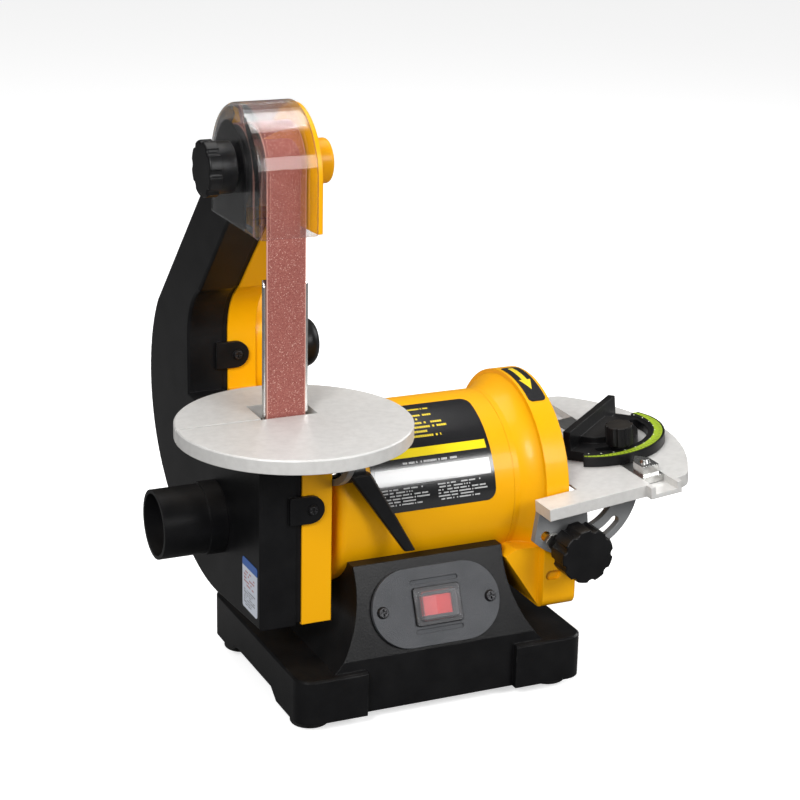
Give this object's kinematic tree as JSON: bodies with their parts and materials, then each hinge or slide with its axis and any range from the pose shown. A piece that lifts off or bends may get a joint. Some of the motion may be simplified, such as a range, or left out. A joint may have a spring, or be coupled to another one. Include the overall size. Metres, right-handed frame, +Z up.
{
  "type": "belt disc sander",
  "caption": "Bench sanding machine with a narrow upright belt, a side disc, a round and a half-round tilting table, a miter gauge and a dust port.",
  "frame": {"origin": "on the bench, midway between the four feet, under the motor", "axes": "+X along the motor axis towards the disc, -Y towards the operator, +Z up"},
  "size_m": [0.3703, 0.2884, 0.3946],
  "materials": {
    "yellow_paint": "gloss powder coat",
    "black_paint": "satin powder coat, fine texture",
    "black_plastic": "fine moulded texture",
    "dark_rubber": "matte",
    "cast_table": "cast, ground top",
    "steel": "turned",
    "zinc_screw": "zinc plated",
    "black_screw": "blackened",
    "abrasive_belt": "coated abrasive on cloth",
    "abrasive_disc": "coated abrasive",
    "smoky_clear": "clear polycarbonate",
    "clear_boot": "clear soft cover",
    "red_rocker": "lit red",
    "panel_grey": "fine moulded texture",
    "label_film": "printed film",
    "white_label": "printed film",
    "scale_film": "printed film",
    "zinc_bracket": "grey paint",
    "copper_coil": "varnished copper wire",
    "core_steel": "laminated steel",
    "fan_plastic": "moulded",
    "wheel_plastic": "moulded"
  },
  "bodies": {
    "frame": {"base": "black_paint", "bottom_plate": "black_paint", "feet": "dark_rubber", "base_screws": "zinc_screw", "cord_gland": "black_plastic", "capacitor": "fan_plastic", "switch_plate": "panel_grey", "plate_screws": "black_screw", "switch_body": "black_plastic", "switch_boot": "clear_boot", "motor_housing": "yellow_paint", "motor_bearings": "steel", "stator": "core_steel", "windings": "copper_coil", "motor_label": "label_film", "disc_housing": "yellow_paint", "trunnion_studs": "zinc_screw", "arrow_label": "label_film", "top_axle": "steel", "arm_pin": "steel", "tension_spring": "steel", "belt_frame": "yellow_paint", "neck_bolts": "zinc_screw", "belt_cover": "black_paint", "dust_port": "black_plastic", "cover_screws": "black_screw", "cover_label": "white_label", "platen": "steel", "top_guard": "smoky_clear", "axle_boss": "yellow_paint", "tracking_housing": "yellow_paint", "sanding_belt": "abrasive_belt", "clamp_stud": "zinc_screw"},
    "spindle": {"motor_shaft": "steel", "rotor": "core_steel", "cooling_fan": "fan_plastic", "drive_wheel": "wheel_plastic", "drive_nut": "zinc_screw", "disc_plate": "cast_table", "sanding_disc": "abrasive_disc"},
    "top_wheel": {"top_wheel": "wheel_plastic"},
    "tension_arm": {"tension_arm": "steel", "rear_axle": "steel"},
    "rear_wheel": {"rear_wheel": "wheel_plastic"},
    "belt_table": {"belt_table": "cast_table", "belt_trunnion": "zinc_bracket", "belt_table_screws": "zinc_screw"},
    "clamp_lever": {"clamp_lever": "black_plastic"},
    "disc_table": {"disc_table": "cast_table", "table_trunnions": "zinc_bracket", "table_screws": "zinc_screw"},
    "tilt_knob": {"tilt_knob": "black_plastic"},
    "miter_bar": {"miter_bar": "steel", "miter_pointer": "steel"},
    "miter_head": {"miter_head": "black_paint", "miter_scale": "scale_film"},
    "miter_knob": {"miter_knob": "black_plastic"},
    "guard_knob": {"guard_knob": "black_plastic"},
    "tracking_knob": {"tracking_knob": "black_plastic"},
    "rocker": {"rocker": "red_rocker"}
  },
  "joints": [
    {"name": "motor_spin", "type": "hinge", "parent": "frame", "child": "spindle", "pos_m": [0, 0, 0.13], "axis": [1, 0, 0], "continuous": true},
    {"name": "top_wheel_spin", "type": "hinge", "parent": "frame", "child": "top_wheel", "pos_m": [-0.0965, -0.02, 0.356], "axis": [1, 0, 0], "continuous": true},
    {"name": "tension_arm_swing", "type": "hinge", "parent": "frame", "child": "tension_arm", "pos_m": [-0.0795, 0.125, 0.15], "axis": [1, 0, 0], "range_deg": [0, 3.5], "stiffness_Nm_per_rad": 5, "springref_deg": -8.59, "deforming": ["tension_spring"]},
    {"name": "rear_wheel_spin", "type": "hinge", "parent": "tension_arm", "child": "rear_wheel", "pos_m": [-0.0965, 0.106, 0.1881], "axis": [1, 0, 0], "continuous": true},
    {"name": "belt_table_tilt", "type": "hinge", "parent": "frame", "child": "belt_table", "pos_m": [-0.0684, -0.0463, 0.203], "axis": [1, 0, 0], "range_deg": [0, 45]},
    {"name": "clamp_lever_turn", "type": "hinge", "parent": "frame", "child": "clamp_lever", "pos_m": [-0.058, -0.0553, 0.16403], "axis": [1, 0, 0], "range_deg": [-90, 0]},
    {"name": "disc_table_tilt", "type": "hinge", "parent": "frame", "child": "disc_table", "pos_m": [0.0985, 0, 0.1366], "axis": [0, 1, 0], "range_deg": [-4, 51]},
    {"name": "tilt_knob_turn", "type": "hinge", "parent": "frame", "child": "tilt_knob", "pos_m": [0.09399, -0.085, 0.09988], "axis": [0, 1, 0], "range_deg": [-180, 180]},
    {"name": "miter_slide", "type": "slide", "parent": "disc_table", "child": "miter_bar", "axis": [0, 1, 0], "range_m": [-0.04, 0.06]},
    {"name": "miter_swivel", "type": "hinge", "parent": "miter_bar", "child": "miter_head", "pos_m": [0.1499, -0.006, 0.14502], "axis": [-0.1045, 0, 0.9945], "range_deg": [-96, 24]},
    {"name": "miter_knob_turn", "type": "hinge", "parent": "miter_bar", "child": "miter_knob", "pos_m": [0.14896, -0.037, 0.15397], "axis": [-0.1045, 0, 0.9945], "range_deg": [-180, 180]},
    {"name": "guard_knob_turn", "type": "hinge", "parent": "frame", "child": "guard_knob", "pos_m": [-0.12, -0.02, 0.356], "axis": [1, 0, 0], "range_deg": [-180, 180]},
    {"name": "tracking_knob_turn", "type": "hinge", "parent": "frame", "child": "tracking_knob", "pos_m": [-0.04, 0.104, 0.202], "axis": [1, 0, 0], "range_deg": [-180, 180]},
    {"name": "rocker_tilt", "type": "hinge", "parent": "frame", "child": "rocker", "pos_m": [-0.002, -0.06948, 0.0706], "axis": [0, 0.3801, 0.925], "range_deg": [0, 16]}
  ],
  "couplings": [
    {"joint": "top_wheel_spin", "follows": "motor_spin", "ratio": 1.8},
    {"joint": "rear_wheel_spin", "follows": "motor_spin", "ratio": 1.8}
  ]
}
